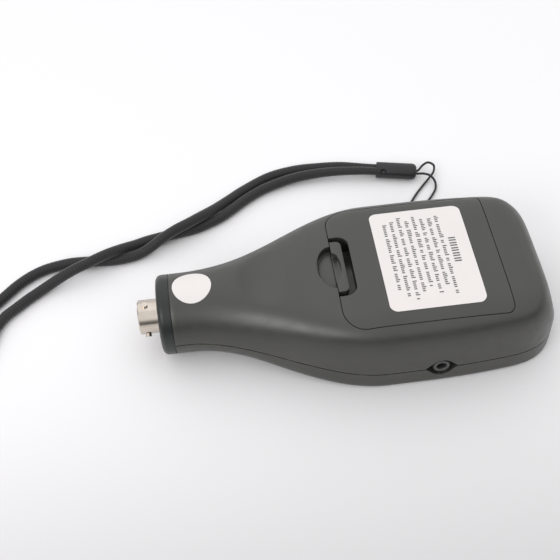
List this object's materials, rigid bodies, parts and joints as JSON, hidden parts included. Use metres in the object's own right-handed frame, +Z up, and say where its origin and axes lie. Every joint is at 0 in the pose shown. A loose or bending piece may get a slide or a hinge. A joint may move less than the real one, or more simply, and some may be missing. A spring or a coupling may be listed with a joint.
{
  "type": "coating thickness gauge",
  "caption": "Bottle-shaped handheld coating thickness gauge lying face down, with a probe socket in its neck, a latched battery door, front keys and a wrist strap.",
  "frame": {"origin": "bottom centre of the gauge's box, without its wrist strap, on the surface that it lies on", "axes": "+X from the probe socket to the wide end, +Z up through the back with the battery door"},
  "size_m": [0.245, 0.1223, 0.0331],
  "materials": {
    "case": "fine texture",
    "cap": "satin",
    "nickel": "plated",
    "black_plastic": "satin",
    "gold_contact": "plated",
    "lead_red": "smooth",
    "label": "printed film",
    "board": "solder mask",
    "steel": "plated",
    "white_plastic": "satin",
    "lcd": "reflective display",
    "strip_rubber": "matte",
    "window": "clear",
    "mat_rubber": "matte",
    "key": "matte",
    "cell": "printed sleeve",
    "cord": "braided",
    "sleeve": "satin"
  },
  "bodies": {
    "casing": {"back_shell": "case", "front_shell": "case", "nose_cap": "cap", "connector_shell": "nickel", "connector_insert": "black_plastic", "connector_contacts": "gold_contact", "connector_washer": "nickel", "connector_nut": "gold_contact", "probe_leads": "lead_red", "neck_label": "label", "data_jack": "black_plastic", "jack_pins": "gold_contact", "main_board": "board", "board_chips": "black_plastic", "board_parts": "steel", "board_screws": "steel", "lcd_frame": "white_plastic", "lcd_glass": "lcd", "lcd_strips": "strip_rubber", "display_window": "window", "keypad_mat": "mat_rubber", "cell_1": "cell", "cell_2": "cell", "cell_3": "cell", "cell_4": "cell", "battery_springs": "steel", "battery_plates": "steel", "case_screws": "steel", "strap_loop_a": "cord", "strap_loop_b": "cord", "strap_sleeve": "sleeve", "wrist_strap": "cord"},
    "door": {"battery_door": "case", "door_label": "label"},
    "key_1": {"key_1": "key"},
    "key_2": {"key_2": "key"},
    "key_3": {"key_3": "key"},
    "key_4": {"key_4": "key"},
    "key_5": {"key_5": "key"},
    "key_6": {"key_6": "key"}
  },
  "joints": [
    {"name": "door_hinge", "type": "hinge", "parent": "casing", "child": "door", "pos_m": [0.0584, 0, 0.033], "axis": [0, 1, 0], "range_deg": [0, 60]},
    {"name": "key_1_press", "type": "slide", "parent": "casing", "child": "key_1", "axis": [0, 0, 1], "range_m": [0, 0.0008], "stiffness_N_per_m": 1200},
    {"name": "key_2_press", "type": "slide", "parent": "casing", "child": "key_2", "axis": [0, 0, 1], "range_m": [0, 0.0008], "stiffness_N_per_m": 1200},
    {"name": "key_3_press", "type": "slide", "parent": "casing", "child": "key_3", "axis": [0, 0, 1], "range_m": [0, 0.0008], "stiffness_N_per_m": 1200},
    {"name": "key_4_press", "type": "slide", "parent": "casing", "child": "key_4", "axis": [0, 0, 1], "range_m": [0, 0.0008], "stiffness_N_per_m": 1200},
    {"name": "key_5_press", "type": "slide", "parent": "casing", "child": "key_5", "axis": [0, 0, 1], "range_m": [0, 0.0008], "stiffness_N_per_m": 1200},
    {"name": "key_6_press", "type": "slide", "parent": "casing", "child": "key_6", "axis": [0, 0, 1], "range_m": [0, 0.0008], "stiffness_N_per_m": 1200}
  ]
}
